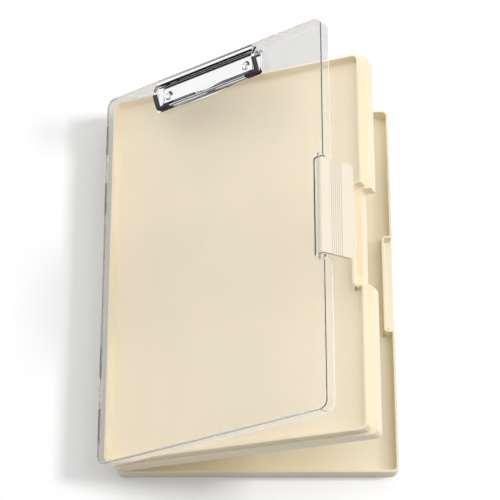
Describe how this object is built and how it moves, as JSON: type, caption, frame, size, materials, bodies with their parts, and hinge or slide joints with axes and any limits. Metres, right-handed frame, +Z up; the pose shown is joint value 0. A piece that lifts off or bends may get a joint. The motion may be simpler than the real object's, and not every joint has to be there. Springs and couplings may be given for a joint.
{
  "type": "storage clipboard box",
  "caption": "Storage clipboard whose cream base and middle trays and clear writing lid hinge open on one side; a ribbed side latch shuts it and a sprung wire clip holds paper.",
  "frame": {"origin": "centre of the base tray's underside", "axes": "+X from the hinged spine to the latch side, +Y along the length to the clip end, +Z up from the table"},
  "size_m": [0.2531, 0.34, 0.1872],
  "materials": {
    "base_plastic": "fine satin moulded",
    "middle_plastic": "satin moulded",
    "lid_clear": "clear polished",
    "latch_plastic": "satin moulded, grip grooves",
    "pin_steel": "drawn wire",
    "clip_chrome": "bright plated",
    "wire_chrome": "bright plated wire",
    "rivet_steel": "bright plated",
    "sleeve_rubber": "satin"
  },
  "bodies": {
    "base": {"base_tray": "base_plastic", "tray_hinge_pin_foot": "pin_steel", "tray_hinge_pin_head": "pin_steel"},
    "middle": {"middle_tray": "middle_plastic"},
    "lid": {"lid": "lid_clear", "lid_hinge_pin_foot": "pin_steel", "lid_hinge_pin_head": "pin_steel", "latch_pin": "pin_steel", "clip_plate": "clip_chrome", "clip_rivet_left": "rivet_steel", "clip_rivet_right": "rivet_steel"},
    "latch": {"latch": "latch_plastic"},
    "bail": {"clip_bail": "wire_chrome", "clip_sleeve_left": "sleeve_rubber", "clip_sleeve_right": "sleeve_rubber"}
  },
  "joints": [
    {"name": "middle_tray_hinge", "type": "hinge", "parent": "base", "child": "middle", "pos_m": [-0.121, 0, 0.01465], "axis": [0, -1, 0], "range_deg": [-23.4, 56.6]},
    {"name": "lid_hinge", "type": "hinge", "parent": "middle", "child": "lid", "pos_m": [-0.12577, 0, 0.02566], "axis": [0, -1, 0], "range_deg": [-15.9, 74.1]},
    {"name": "latch_hinge", "type": "hinge", "parent": "lid", "child": "latch", "pos_m": [0.04937, 0, 0.18303], "axis": [0, -1, 0], "range_deg": [-18.7, 91.3]},
    {"name": "clip_bail_hinge", "type": "hinge", "parent": "lid", "child": "bail", "pos_m": [-0.04387, 0.16085, 0.11538], "axis": [-0.7738, 0, -0.6334], "range_deg": [0, 85], "stiffness_Nm_per_rad": 0.05, "springref_deg": -34.38}
  ]
}
